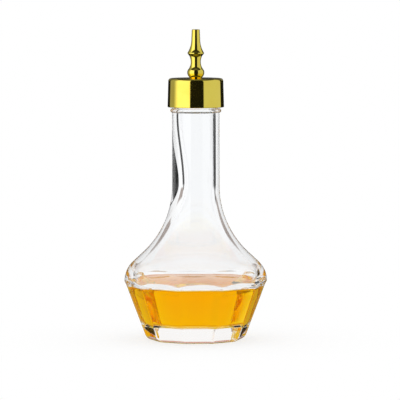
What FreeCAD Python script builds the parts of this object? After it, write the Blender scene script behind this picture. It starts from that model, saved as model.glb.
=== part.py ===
import FreeCAD, Part
import math
import os

import Sketcher

# A bitters bottle: heavy clear glass with a long round neck and a panelled body, closed by a
# turned metal dash cap that screws on over the mouth. Up is +Z and the bottle stands on z = 0.

# Driving sizes: lengths in millimetres, angles in degrees
SIZES = (
    # body of the bottle
    ("body_radius", "31.4"),        # widest round, just above the panels
    ("widest_height", "25.9"),      # height of the widest round
    ("turn_radius", "1"),           # rounding under the widest round, above the panels
    ("ridge_lean", "20.75"),        # lean of the ridges between the panels, from upright
    ("panel_count", "10"),
    ("ridge_inset", "0.12"),        # how far the ridges lie inside the round body
    ("heel_radius", "3.6"),         # rounding from the panels to the foot
    ("heel_toe", "0.15"),           # leaves a crisp edge where the rounding meets the table
    ("push_up_radius", "14"),       # hollow under the foot
    ("push_up_depth", "1.2"),
    # shoulder and neck
    ("shoulder_radius", "11.5"),
    ("shoulder_slope", "47"),       # slope of the shoulder, from upright
    ("flare_radius", "40"),         # sweep from the shoulder into the neck
    ("neck_radius", "10.4"),
    ("ring_height", "100"),         # underside of the glass ring below the cap
    ("ring_thickness", "1.8"),
    ("ring_reach", "0.8"),          # how far the ring stands out from the neck
    # mouth, over which the cap screws
    ("finish_radius", "8.9"),
    ("finish_height", "9.7"),       # from the top of the ring to the lip
    ("finish_fillet", "0.8"),
    ("mouth_radius", "6.4"),
    ("mouth_depth", "7.5"),         # straight bore below the lip
    ("throat_rise", "3"),           # height over which the neck's bore narrows to the mouth
    ("lip_round", "0.9"),
    # hollow of the bottle
    ("base_thickness", "7.2"),
    ("body_wall", "2.2"),           # thinnest, in the middle of a panel
    ("shoulder_wall", "2.7"),
    ("hollow_turn_radius", "2.5"),  # rounding from the body's wall into the shoulder
    ("floor_round", "5"),
    ("fill_depth", "16.6"),         # depth of the bitters above the glass floor
    ("liquid_gap", "0.03"),
    # cap
    ("cap_radius", "12.4"),         # at the bottom of the skirt
    ("cap_top_radius", "12.05"),
    ("cap_edge_round", "1.2"),
    ("cap_rim_round", "0.3"),
    ("cap_gap", "0.6"),             # between the skirt and the glass ring
    ("cap_top_thickness", "0.8"),
    ("cap_wall", "0.6"),            # thinnest wall of the skirt, at its top
    # threaded liner inside the cap
    ("liner_gap", "0.05"),
    ("liner_bore", "10.3"),
    ("liner_top", "1.2"),
    ("liner_recess", "0.7"),        # how far the liner stays up inside the skirt
    ("liner_lead", "0.5"),
    # washer between the liner and the lip
    ("washer_thickness", "1.6"),
    ("washer_hole", "3.3"),
    ("washer_gap", "0.3"),
    ("washer_edge", "0.25"),
    # dasher spout
    ("bore_radius", "1.05"),
    ("tip_radius", "1.72"),
    ("tip_round", "0.25"),
    ("spout_height", "21.4"),       # from the top of the cap to the tip
    ("nozzle_root_radius", "1.92"),
    ("nozzle_root_height", "17"),
    ("bead_radius", "3.6"),
    ("bead_height", "10.8"),
    ("bead_rim", "0.4"),
    ("bead_bevel", "1.1"),          # height of the bevel under the bead
    ("bead_neck_radius", "2.75"),   # under the bevel
    ("waist_radius", "2.18"),
    ("waist_height", "7.1"),
    ("bulb_radius", "3.74"),
    ("bulb_height", "2.6"),
    ("bulb_round", "2.1"),          # rounding over the top of the bulb
    ("spout_foot_radius", "2.4"),   # foot of the bulb on the cap
    ("shank_radius", "1.8"),
    ("shank_gap", "0.04"),
    ("rivet_radius", "3"),          # spread end of the shank, under the cap's top
    ("rivet_thickness", "0.6"),
    ("rivet_gap", "0.3"),
    ("funnel_depth", "0.5"),
)

# Places worked out from the sizes
PLACES = (
    # panels: each plane's lean, and how far it lies from the axis at the table
    ("foot_radius", "sizes.body_radius - sizes.turn_radius * (1 - cos(sizes.ridge_lean))"
     " - (sizes.widest_height - sizes.turn_radius * sin(sizes.ridge_lean)) * tan(sizes.ridge_lean)"),
    ("panel_share", "cos(180 / sizes.panel_count)"),
    ("panel_lean", "atan(tan(sizes.ridge_lean) * places.panel_share) / 1 deg"),
    ("panel_foot", "(places.foot_radius - sizes.ridge_inset) * places.panel_share"),
    ("panel_reach", "sizes.body_radius + sizes.turn_radius"),
    ("heel_level", "sizes.heel_radius - sizes.heel_toe"),
    ("heel_step", "sqrt(sizes.heel_radius ^ 2 - places.heel_level ^ 2)"),
    # shoulder slope: where it leaves the shoulder's round and where it meets the flare
    ("slope_radius", "sizes.body_radius - sizes.shoulder_radius * (1 - cos(sizes.shoulder_slope))"),
    ("slope_height", "sizes.widest_height + sizes.shoulder_radius * sin(sizes.shoulder_slope)"),
    ("flare_foot_radius", "sizes.neck_radius + sizes.flare_radius * (1 - cos(sizes.shoulder_slope))"),
    ("flare_foot_height", "places.slope_height"
     " + (places.slope_radius - places.flare_foot_radius) / tan(sizes.shoulder_slope)"),
    ("flare_height", "places.flare_foot_height + sizes.flare_radius * sin(sizes.shoulder_slope)"),
    # mouth
    ("ring_top", "sizes.ring_height + sizes.ring_thickness"),
    ("ring_round", "((sizes.ring_thickness / 2) ^ 2 + sizes.ring_reach ^ 2) / (2 * sizes.ring_reach)"),
    ("lip_height", "places.ring_top + sizes.finish_height"),
    ("mouth_level", "places.lip_height - sizes.mouth_depth"),
    ("fill_height", "sizes.base_thickness + sizes.fill_depth"),
    # cap, stacked on the lip
    ("cap_level", "places.ring_top + sizes.cap_gap"),
    ("liner_level", "places.cap_level + sizes.liner_recess"),
    ("liner_roof", "places.lip_height + sizes.washer_thickness"),
    ("liner_height", "places.liner_roof + sizes.liner_top - places.liner_level"),
    ("cap_roof", "places.liner_roof + sizes.liner_top"),
    ("cap_top", "places.cap_roof + sizes.cap_top_thickness"),
    ("cap_height", "places.cap_top - places.cap_level"),
    ("shell_bore", "sizes.cap_top_radius - sizes.cap_wall"),
    ("liner_radius", "places.shell_bore - sizes.liner_gap"),
    ("liner_hole", "sizes.rivet_radius + sizes.rivet_gap"),
    ("washer_radius", "sizes.liner_bore - sizes.washer_gap"),
    ("spout_level", "places.cap_roof - sizes.rivet_thickness"),
    ("spout_seat", "sizes.rivet_thickness + sizes.cap_top_thickness"),
)

document = FreeCAD.newDocument("bitters_bottle")


def fill_sheet(name, rows, mark):
    """Writes named cells, one row each, with their names beside them."""
    sheet = document.addObject("Spreadsheet::Sheet", name)
    for row, (alias, text) in enumerate(rows, start=1):
        sheet.set(f"A{row}", alias)
        sheet.setAlias(f"B{row}", alias)
        sheet.set(f"B{row}", mark + text)
    document.recompute()
    return sheet


sizes = fill_sheet("sizes", SIZES, "")
places = fill_sheet("places", PLACES, "=")


def value(formula):
    """Works out a formula of the two sheets."""
    return float(sizes.evalExpression(formula))


def new_body(label, level="0"):
    """Starts a sub-part, with its own zero height at the given level."""
    body = document.addObject("PartDesign::Body", label)
    body.Label = label
    body.setExpression("Placement.Base.z", level)
    return body


def origin_plane(body, role):
    """Finds one of the body's own reference planes."""
    return next(plane for plane in body.Origin.OriginFeatures if plane.Role == role)


def new_sketch(body, name, role):
    """Starts a sketch on one of the body's own reference planes."""
    sketch = body.newObject("Sketcher::SketchObject", name)
    sketch.AttachmentSupport = [(origin_plane(body, role), "")]
    sketch.MapMode = "FlatFace"
    return sketch


def arc_between(start, end, radius):
    """Arc from start to end: a positive radius turns left, a negative one turns right."""
    chord = end - start
    left = FreeCAD.Vector(-chord.y, chord.x, 0).normalize()
    rise = math.sqrt(max(radius ** 2 - (chord.Length / 2) ** 2, 0))
    centre = start + chord / 2 + left * math.copysign(rise, radius)
    first, last = (start, end) if radius > 0 else (end, start)
    angles = [math.atan2(point.y - centre.y, point.x - centre.x) for point in (first, last)]
    circle = Part.Circle(centre, FreeCAD.Vector(0, 0, 1), abs(radius))
    return Part.ArcOfCircle(circle, *angles)


def outline(body, name, role, corners):
    """Draws a closed outline whose corners and rounds are bound to the sheets.

    A corner is (across, up), or (across, up, radius) where the stretch after it is an arc: a
    radius with a minus sign turns right along the outline, and one without turns left.
    """
    sketch = new_sketch(body, name, role)
    points = [FreeCAD.Vector(value(corner[0]), value(corner[1]), 0) for corner in corners]
    ends = []
    for index, corner in enumerate(corners):
        start, end = points[index], points[(index + 1) % len(points)]
        if len(corner) == 2:
            sketch.addGeometry(Part.LineSegment(start, end))
            ends.append((1, 2))
            continue
        sketch.addGeometry(arc_between(start, end, value(corner[2])))
        ends.append((2, 1) if corner[2].startswith("-") else (1, 2))
        size = corner[2].lstrip("-")
        held = sketch.addConstraint(Sketcher.Constraint("Radius", index, value(size)))
        sketch.renameConstraint(held, f"round_{index}")
        sketch.setExpression(f"Constraints.round_{index}", size)
    for index, corner in enumerate(corners):
        first = ends[index][0]
        before = index - 1 if index else len(corners) - 1
        sketch.addConstraint(Sketcher.Constraint("Coincident", before, ends[before][1], index, first))
        for kind, word, axis, formula in (("DistanceX", "across", -2, corner[0]),
                                          ("DistanceY", "up", -1, corner[1])):
            if formula == "0":
                sketch.addConstraint(Sketcher.Constraint("PointOnObject", index, first, axis))
                continue
            held = sketch.addConstraint(Sketcher.Constraint(kind, -1, 1, index, first, value(formula)))
            sketch.renameConstraint(held, f"{word}_{index}")
            sketch.setExpression(f"Constraints.{word}_{index}", formula)
    return sketch


def turn(body, name, corners, feature="PartDesign::Revolution"):
    """Turns an outline round the body's upright axis, as a solid or as a hollow."""
    sketch = outline(body, f"{name}_outline", "XZ_Plane", corners)
    turned = body.newObject(feature, name)
    turned.Profile = sketch
    turned.ReferenceAxis = (sketch, ["V_Axis"])
    turned.Angle = 360
    document.recompute()
    return turned


def round_rims(body, name, rims, size):
    """Rounds the circular edges that lie at the given (radius, height) pairs."""
    base = body.Tip
    wanted = [(value(radius), value(height)) for radius, height in rims]
    names = []
    for number, edge in enumerate(base.Shape.Edges, start=1):
        if edge.Degenerated or not isinstance(edge.Curve, Part.Circle):
            continue
        place = (edge.Curve.Radius, edge.Curve.Center.z)
        if any(math.dist(place, rim) < 1e-5 for rim in wanted):
            names.append(f"Edge{number}")
    fillet = body.newObject("PartDesign::Fillet", name)
    fillet.Base = (base, names)
    fillet.setExpression("Radius", size)
    document.recompute()
    return fillet


def sweep(step, rise):
    """Radius of an arc that leaves an upright line and moves a step aside over a rise."""
    return f"((({step}) ^ 2 + ({rise}) ^ 2) / (2 * ({step})))"


def hollow_corners(gap):
    """Outline of the bottle's hollow, drawn in from the glass by a gap."""
    lean, slope = "places.panel_lean", "sizes.shoulder_slope"
    wall = f"(places.panel_foot * cos({lean}) - sizes.body_wall - {gap})"
    floor = f"(sizes.base_thickness + {gap})"
    # the floor's rounding touches the floor and the leaning wall
    round_up = f"({floor} + sizes.floor_round)"
    round_across = f"(({wall} - sizes.floor_round + {round_up} * sin({lean})) / cos({lean}))"
    # the shoulder runs level with the glass outside, and a tight rounding joins it to the wall
    middle = "(sizes.body_radius - sizes.shoulder_radius)"
    inside = f"(sizes.shoulder_radius - sizes.shoulder_wall - {gap})"
    tight = f"(sizes.hollow_turn_radius - {gap})"
    out = f"({wall} - {tight} - {middle} * cos({lean}) + sizes.widest_height * sin({lean}))"
    rise = f"sqrt(({inside} - {tight}) ^ 2 - {out} ^ 2)"
    tight_across = f"({out} * cos({lean}) + {rise} * sin({lean}))"
    tight_up = f"({rise} * cos({lean}) - {out} * sin({lean}))"
    reach = f"({inside} / ({inside} - {tight}))"
    # the flare runs level with the glass flare, and the neck's bore narrows to the straight mouth
    flare = f"(sizes.flare_radius + sizes.shoulder_wall + {gap})"
    flare_middle = "(sizes.neck_radius + sizes.flare_radius)"
    bore = f"(sizes.neck_radius - sizes.shoulder_wall - {gap})"
    mouth = f"(sizes.mouth_radius - {gap})"
    throat = sweep(f"({bore} - {mouth}) / 2", "sizes.throat_rise / 2")
    above = "(places.lip_height + sizes.lip_round)"
    return (
        ("0", floor),
        (round_across, floor, "sizes.floor_round"),
        (f"{round_across} + sizes.floor_round * cos({lean})", f"{round_up} - sizes.floor_round * sin({lean})"),
        (f"{middle} + {tight_across} + {tight} * cos({lean})",
         f"sizes.widest_height + {tight_up} - {tight} * sin({lean})", tight),
        (f"{middle} + {tight_across} * {reach}", f"sizes.widest_height + {tight_up} * {reach}", inside),
        (f"{middle} + {inside} * cos({slope})", f"sizes.widest_height + {inside} * sin({slope})"),
        (f"{flare_middle} - {flare} * cos({slope})", f"places.flare_height - {flare} * sin({slope})", f"-{flare}"),
        (bore, "places.flare_height"),
        (bore, "places.mouth_level - sizes.throat_rise", throat),
        (f"({bore} + {mouth}) / 2", "places.mouth_level - sizes.throat_rise / 2", f"-{throat}"),
        (mouth, "places.mouth_level"),
        (mouth, above),
        ("0", above),
    )


def build_glass_bottle():
    """The bottle: a turned outside, flat panels cut round the body, and a turned hollow."""
    body = new_body("glass_bottle")
    ridge = "sizes.ridge_lean"
    heel_up = f"(places.heel_level - sizes.heel_radius * sin({ridge}))"
    heel_across = f"(places.foot_radius + {heel_up} * tan({ridge}))"
    outside = turn(body, "outside", (
        ("0", "0"),
        (f"{heel_across} - sizes.heel_radius * cos({ridge}) + places.heel_step", "0", "sizes.heel_radius"),
        (heel_across, heel_up),
        (f"sizes.body_radius - sizes.turn_radius * (1 - cos({ridge}))",
         f"sizes.widest_height - sizes.turn_radius * sin({ridge})", "sizes.turn_radius"),
        ("sizes.body_radius", "sizes.widest_height", "sizes.shoulder_radius"),
        ("places.slope_radius", "places.slope_height"),
        ("places.flare_foot_radius", "places.flare_foot_height", "-sizes.flare_radius"),
        ("sizes.neck_radius", "places.flare_height"),
        ("sizes.neck_radius", "sizes.ring_height", "places.ring_round"),
        ("sizes.neck_radius", "places.ring_top"),
        ("sizes.finish_radius + sizes.finish_fillet", "places.ring_top", "-sizes.finish_fillet"),
        ("sizes.finish_radius", "places.ring_top + sizes.finish_fillet"),
        ("sizes.finish_radius", "places.lip_height"),
        ("0", "places.lip_height"),
    ))

    # one panel: everything outside a leaning plane that is rounded in to the foot
    lean = "places.panel_lean"
    toe_up = f"(places.heel_level - sizes.heel_radius * sin({lean}))"
    toe_across = f"(places.panel_foot + {toe_up} * tan({lean}))"
    panel = body.newObject("PartDesign::Pocket", "panel")
    panel.Profile = outline(body, "panel_outline", "YZ_Plane", (
        (f"{toe_across} - sizes.heel_radius * cos({lean}) + places.heel_step", "0", "sizes.heel_radius"),
        (toe_across, toe_up),
        ("places.panel_reach", f"(places.panel_reach - places.panel_foot) / tan({lean})"),
        ("places.panel_reach", "0"),
    ))
    panel.Type = "ThroughAll"
    panel.SideType = "Symmetric"
    document.recompute()
    panels = body.newObject("PartDesign::PolarPattern", "panels")
    panels.Originals = [panel]
    panels.Axis = (panel.Profile[0], ["V_Axis"])
    panels.Angle = 360
    panels.setExpression("Occurrences", "sizes.panel_count")
    body.Tip = panels
    document.recompute()

    # shallow hollow under the foot: an arc that passes through its rim and its middle
    dome = "((sizes.push_up_radius ^ 2 + sizes.push_up_depth ^ 2) / (2 * sizes.push_up_depth))"
    push_up = turn(body, "push_up", (
        ("0", "0"),
        ("sizes.push_up_radius", "0", dome),
        ("0", "sizes.push_up_depth"),
    ), "PartDesign::Groove")
    hollow = turn(body, "hollow", hollow_corners("0"), "PartDesign::Groove")
    round_rims(body, "lip", (("sizes.mouth_radius", "places.lip_height"),
                             ("sizes.finish_radius", "places.lip_height")), "sizes.lip_round")
    stages = [stage.Shape.Volume for stage in (outside, panel, panels, push_up, hollow)]
    print(f"glass_bottle holds {(stages[3] - stages[4]) / 1000:.1f} ml to the brim")
    return body, stages


def build_bitters_liquid():
    """The bitters: the hollow's own form, cut off level at the fill height."""
    body = new_body("bitters_liquid")
    whole = turn(body, "filled_hollow", hollow_corners("sizes.liquid_gap"))
    above = new_sketch(body, "above_level", "XY_Plane")
    above.setExpression("AttachmentOffset.Base.z", "places.fill_height")
    above.addGeometry(Part.Circle(FreeCAD.Vector(), FreeCAD.Vector(0, 0, 1), value("sizes.body_radius")))
    above.addConstraint(Sketcher.Constraint("Coincident", 0, 3, -1, 1))
    held = above.addConstraint(Sketcher.Constraint("Radius", 0, value("sizes.body_radius")))
    above.renameConstraint(held, "reach")
    above.setExpression("Constraints.reach", "sizes.body_radius")
    level = body.newObject("PartDesign::Pocket", "level")
    level.Profile = above
    level.Type = "ThroughAll"
    level.Reversed = True
    document.recompute()
    print(f"bitters_liquid is {level.Shape.Volume / 1000:.1f} ml")
    return body, [whole.Shape.Volume, level.Shape.Volume]


def build_cap_shell():
    """The cap's metal shell: a slightly tapered skirt with a hole in its top for the spout."""
    body = new_body("cap_shell", "places.cap_level")
    hole = "sizes.shank_radius + sizes.shank_gap"
    roof = "places.cap_height - sizes.cap_top_thickness"
    turn(body, "shell", (
        (hole, roof),
        ("places.shell_bore", roof),
        ("places.shell_bore", "0"),
        ("sizes.cap_radius", "0"),
        ("sizes.cap_top_radius", "places.cap_height"),
        (hole, "places.cap_height"),
    ))
    round_rims(body, "top_edge", (("sizes.cap_top_radius", "places.cap_height"),), "sizes.cap_edge_round")
    round_rims(body, "rim", (("sizes.cap_radius", "0"), ("places.shell_bore", "0")), "sizes.cap_rim_round")
    return body, []


def build_threaded_liner():
    """The moulded liner glued into the shell, whose bore screws on to the glass."""
    body = new_body("threaded_liner", "places.liner_level")
    roof = "places.liner_height - sizes.liner_top"
    turn(body, "liner", (
        ("places.liner_hole", roof),
        ("sizes.liner_bore", roof),
        ("sizes.liner_bore", "sizes.liner_lead"),
        ("sizes.liner_bore + sizes.liner_lead", "0"),
        ("places.liner_radius", "0"),
        ("places.liner_radius", "places.liner_height"),
        ("places.liner_hole", "places.liner_height"),
    ))
    return body, []


def build_seal_washer():
    """The soft washer held between the liner and the lip, open in the middle for the drops."""
    body = new_body("seal_washer", "places.lip_height")
    edge = "sizes.washer_edge"
    turn(body, "washer", (
        ("sizes.washer_hole", "0"),
        (f"places.washer_radius - {edge}", "0"),
        ("places.washer_radius", edge),
        ("places.washer_radius", f"sizes.washer_thickness - {edge}"),
        (f"places.washer_radius - {edge}", "sizes.washer_thickness"),
        ("sizes.washer_hole", "sizes.washer_thickness"),
    ))
    return body, []


def build_dasher_spout():
    """The turned spout: bulb, waist, bead and nozzle over a shank that is spread under the cap."""
    body = new_body("dasher_spout", "places.spout_level")
    seat = "places.spout_seat"
    # bulb: out from its foot to its widest, then over its top and on into the waist
    foot_round = sweep("sizes.bulb_radius - sizes.spout_foot_radius", "sizes.bulb_height")
    both_rounds = sweep("sizes.bulb_radius - sizes.waist_radius", "sizes.waist_height - sizes.bulb_height")
    share = f"(sizes.bulb_round / {both_rounds})"
    waist_round = f"({both_rounds} - sizes.bulb_round)"
    middle = (f"sizes.bulb_radius - sizes.bulb_round + {share} * ({both_rounds}"
              " + sizes.waist_radius - sizes.bulb_radius)")
    middle_up = f"{seat} + sizes.bulb_height + {share} * (sizes.waist_height - sizes.bulb_height)"
    # bead: a bevel up to a narrow rim, and a long sweep from the rim into the nozzle
    bevel_up = "sizes.bead_height - sizes.bead_bevel"
    neck_round = sweep("sizes.bead_neck_radius - sizes.waist_radius", f"{bevel_up} - sizes.waist_height")
    rim_up = "sizes.bead_height + sizes.bead_rim"
    nozzle_round = sweep("sizes.bead_radius - sizes.nozzle_root_radius", f"sizes.nozzle_root_height - {rim_up}")
    turn(body, "spout", (
        ("sizes.bore_radius + sizes.funnel_depth", "0"),
        ("sizes.rivet_radius", "0"),
        ("sizes.rivet_radius", "sizes.rivet_thickness"),
        ("sizes.shank_radius", "sizes.rivet_thickness"),
        ("sizes.shank_radius", seat),
        ("sizes.spout_foot_radius", seat, foot_round),
        ("sizes.bulb_radius", f"{seat} + sizes.bulb_height", "sizes.bulb_round"),
        (middle, middle_up, f"-{waist_round}"),
        ("sizes.waist_radius", f"{seat} + sizes.waist_height", f"-{neck_round}"),
        ("sizes.bead_neck_radius", f"{seat} + {bevel_up}"),
        ("sizes.bead_radius", f"{seat} + sizes.bead_height"),
        ("sizes.bead_radius", f"{seat} + {rim_up}", f"-{nozzle_round}"),
        ("sizes.nozzle_root_radius", f"{seat} + sizes.nozzle_root_height"),
        ("sizes.tip_radius", f"{seat} + sizes.spout_height"),
        ("sizes.bore_radius", f"{seat} + sizes.spout_height"),
        ("sizes.bore_radius", "sizes.funnel_depth"),
    ))
    round_rims(body, "tip", (("sizes.tip_radius", f"{seat} + sizes.spout_height"),), "sizes.tip_round")
    return body, []


built = [
    build_glass_bottle(),
    build_bitters_liquid(),
    build_cap_shell(),
    build_threaded_liner(),
    build_seal_washer(),
    build_dasher_spout(),
]

document.recompute()
for item in document.Objects:
    if {"Invalid", "Error"} & set(item.State):
        raise RuntimeError(f"{item.Label} was not built: {item.State}")
for body, stages in built:
    if body.Shape.isNull() or not body.Shape.isValid() or len(body.Shape.Solids) != 1:
        raise RuntimeError(f"{body.Label} is not one valid solid")
    if any(after >= before for before, after in zip(stages, stages[1:])):
        raise RuntimeError(f"a cut in {body.Label} removed nothing: {stages}")

os.makedirs("parts", exist_ok=True)
for body, _ in built:
    body.Shape.exportStep(f"parts/{body.Label}.step")
    box = body.Shape.optimalBoundingBox(False)
    print(f"{body.Label}: {body.Shape.Volume:.1f} mm3, z {box.ZMin:.2f} to {box.ZMax:.2f}, width {box.XLength:.2f}")
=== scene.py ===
"""A bitters bottle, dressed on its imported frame: panelled glass, bitters and a gold dash cap."""

import logging
import math
from dataclasses import dataclass, replace
from enum import Enum
from typing import Any, Sequence

import bpy
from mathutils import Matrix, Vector


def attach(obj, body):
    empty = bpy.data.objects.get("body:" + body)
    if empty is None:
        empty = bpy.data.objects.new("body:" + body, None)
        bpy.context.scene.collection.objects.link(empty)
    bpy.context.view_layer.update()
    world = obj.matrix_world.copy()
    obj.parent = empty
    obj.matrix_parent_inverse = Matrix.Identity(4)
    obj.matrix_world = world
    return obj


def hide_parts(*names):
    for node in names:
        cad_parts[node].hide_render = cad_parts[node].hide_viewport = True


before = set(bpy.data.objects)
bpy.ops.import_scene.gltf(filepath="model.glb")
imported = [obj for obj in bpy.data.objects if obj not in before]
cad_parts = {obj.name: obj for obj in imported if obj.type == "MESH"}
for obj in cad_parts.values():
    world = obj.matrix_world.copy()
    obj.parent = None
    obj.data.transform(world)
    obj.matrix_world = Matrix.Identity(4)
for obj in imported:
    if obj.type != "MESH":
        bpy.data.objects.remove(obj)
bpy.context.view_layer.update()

log = logging.getLogger("bitters_bottle")
MM = 0.001

Point = tuple[float, float]
Colour = tuple[float, float, float]
Socket = bpy.types.NodeSocket
Mesh = bpy.types.Mesh
Piece = bpy.types.Object

WHITE: Colour = (1.0, 1.0, 1.0)
# Places nearer than this, in millimetres, count as one.
SAME = 1e-3
# The longest turn of one step along an arc, and the angles from which an edge is sharp.
ARC_TURN = math.radians(7)
CREASE = math.radians(40)
FINE_CREASE = math.radians(30)


class Body(Enum):
    """The moving bodies of the bottle."""

    BOTTLE = "bottle"
    SEAL = "seal"
    CAP = "cap"


class Slot(Enum):
    """The finishes that the pieces are made in."""

    GLASS = "clear_glass"
    BITTERS = "bitters"
    GOLD = "gold_metal"
    LINER = "liner_plastic"
    SEAL = "soft_seal"


class Side(Enum):
    """Which wall of a threaded piece carries its thread."""

    OUTSIDE = 1.0
    INSIDE = -1.0


# Node trees

class Wire:
    """One output of a node tree; arithmetic on it adds Math nodes."""

    def __init__(self, board: "Board", socket: Socket) -> None:
        """Keeps the socket and the board that its nodes are added to."""
        self.board = board
        self.socket = socket

    def __add__(self, other: Any) -> "Wire":
        """Adds a value."""
        return self.board.math("ADD", self, other)

    __radd__ = __add__

    def __sub__(self, other: Any) -> "Wire":
        """Takes a value away."""
        return self.board.math("SUBTRACT", self, other)

    def __rsub__(self, other: Any) -> "Wire":
        """Takes this value away from another."""
        return self.board.math("SUBTRACT", other, self)

    def __mul__(self, other: Any) -> "Wire":
        """Multiplies by a value."""
        return self.board.math("MULTIPLY", self, other)

    __rmul__ = __mul__

    def __truediv__(self, other: Any) -> "Wire":
        """Divides by a value."""
        return self.board.math("DIVIDE", self, other)

    def __rtruediv__(self, other: Any) -> "Wire":
        """Divides another value by this one."""
        return self.board.math("DIVIDE", other, self)

    def __lt__(self, other: Any) -> "Wire":
        """Gives 1 where this value is the smaller one."""
        return self.board.math("LESS_THAN", self, other)

    def __gt__(self, other: Any) -> "Wire":
        """Gives 1 where this value is the larger one."""
        return self.board.math("GREATER_THAN", self, other)

    def __abs__(self) -> "Wire":
        """Drops the sign."""
        return self.board.math("ABSOLUTE", self)

    def least(self, other: Any) -> "Wire":
        """Gives the smaller of two values."""
        return self.board.math("MINIMUM", self, other)

    def most(self, other: Any) -> "Wire":
        """Gives the larger of two values."""
        return self.board.math("MAXIMUM", self, other)

    def root(self) -> "Wire":
        """Gives the square root."""
        return self.board.math("SQRT", self)

    def cosine(self) -> "Wire":
        """Gives the cosine of an angle."""
        return self.board.math("COSINE", self)

    def climb(self, low: Any, high: Any) -> "Wire":
        """Rises smoothly from 0 at the low value to 1 at the high one."""
        node = self.board.node("ShaderNodeMapRange", {"interpolation_type": "SMOOTHSTEP"},
                               {"Value": self, "From Min": low, "From Max": high})
        return self.board.wire(node, "Result")

    def band(self, low: Any, high: Any, edge: float) -> "Wire":
        """Gives 1 between two values and 0 outside them; the edge is half the width of each soft end."""
        return self.climb(low - edge, low + edge) * (1 - self.climb(high - edge, high + edge))


class Board:
    """Adds nodes to one tree, of a material, the world or a geometry group."""

    def __init__(self, tree: bpy.types.NodeTree) -> None:
        """Takes the tree that gets the nodes and empties it."""
        self.tree = tree
        tree.nodes.clear()

    def node(self, kind: str, settings: dict[str, Any] | None = None,
             inputs: dict[Any, Any] | None = None) -> bpy.types.Node:
        """Adds one node.

        Args:
            kind: The node's type.
            settings: Its own properties.
            inputs: Values or wires for its sockets, by name or number.

        Returns:
            The new node.
        """
        node = self.tree.nodes.new(kind)
        for name, setting in (settings or {}).items():
            setattr(node, name, setting)
        for name, value in (inputs or {}).items():
            self.feed(node.inputs[name], value)
        return node

    def feed(self, socket: Socket, value: Any) -> None:
        """Links a wire to a socket, or sets the socket's own value.

        Args:
            socket: The input socket.
            value: A wire, a socket or a plain value.
        """
        if isinstance(value, Wire):
            self.tree.links.new(value.socket, socket)
        elif isinstance(value, Socket):
            self.tree.links.new(value, socket)
        else:
            socket.default_value = value

    def wire(self, node: bpy.types.Node, output: str | int = 0) -> Wire:
        """Wraps one output of a node."""
        return Wire(self, node.outputs[output])

    def math(self, operation: str, *values: Any) -> Wire:
        """Adds a Math node with wires or numbers for its inputs."""
        return self.wire(self.node("ShaderNodeMath", {"operation": operation}, dict(enumerate(values))))

    def axes(self, vector: Any) -> tuple[Wire, Wire, Wire]:
        """Splits a vector into its three parts."""
        node = self.node("ShaderNodeSeparateXYZ", None, {0: vector})
        return self.wire(node, 0), self.wire(node, 1), self.wire(node, 2)

    def vector(self, across: Any, along: Any, up: Any) -> Wire:
        """Joins three values into a vector."""
        return self.wire(self.node("ShaderNodeCombineXYZ", None, {0: across, 1: along, 2: up}))

    def noise(self, place: Any, scale: float, detail: float = 2.0) -> Wire:
        """Adds a noise from 0 to 1, with so many grains to a metre and so many finer layers."""
        node = self.node("ShaderNodeTexNoise", None, {"Vector": place, "Scale": scale, "Detail": detail})
        return self.wire(node, 0)

    def tint(self, share: Any, first: Colour, second: Colour) -> Wire:
        """Mixes two colours by the share of the second."""
        ends = {6: (*first, 1), 7: (*second, 1)}
        return self.wire(self.node("ShaderNodeMix", {"data_type": "RGBA"}, {0: share, **ends}), 2)

    def bump(self, height: Any, depth: float) -> Wire:
        """Makes a normal from a height between 0 and 1, where 1 stands for the depth in metres."""
        return self.wire(self.node("ShaderNodeBump", None, {"Distance": depth, "Height": height}))

    def blend(self, share: Any, first: Socket, second: Socket) -> Socket:
        """Mixes two shaders by the share of the second."""
        return self.node("ShaderNodeMixShader", None, {0: share, 1: first, 2: second}).outputs[0]

    def glow(self, colour: Any, strength: float = 1.0) -> Socket:
        """Adds a shader that gives off light."""
        return self.node("ShaderNodeEmission", None, {"Color": colour, "Strength": strength}).outputs[0]


# Finishes

class Finish:
    """A finish that is made as a material once and then shared."""

    name = "finish"

    def material(self) -> bpy.types.Material:
        """Finds the finish's material, or makes it.

        Returns:
            The material.
        """
        found = bpy.data.materials.get(self.name)
        if found:
            return found
        made = bpy.data.materials.new(self.name)
        made.use_nodes = True
        board = Board(made.node_tree)
        place = board.node("ShaderNodeTexCoord").outputs["Object"]
        sockets = {"Surface": self.shader(board, place)}
        depth = self.volume(board)
        if depth:
            sockets["Volume"] = depth
        board.node("ShaderNodeOutputMaterial", None, sockets)
        return made

    def shader(self, board: Board, place: Socket) -> Socket:
        """Builds the finish's shader.

        Args:
            board: The board of the material's tree.
            place: The place on the piece, in its own frame.

        Returns:
            The shader's output.
        """
        raise NotImplementedError

    def volume(self, board: Board) -> Socket | None:
        """Gives what fills the piece, if it is not plain."""
        return None

    def principled(self, board: Board, inputs: dict[str, Any]) -> Socket:
        """Adds the main shader with its values and wires."""
        return board.node("ShaderNodeBsdfPrincipled", None, inputs).outputs[0]


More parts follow.
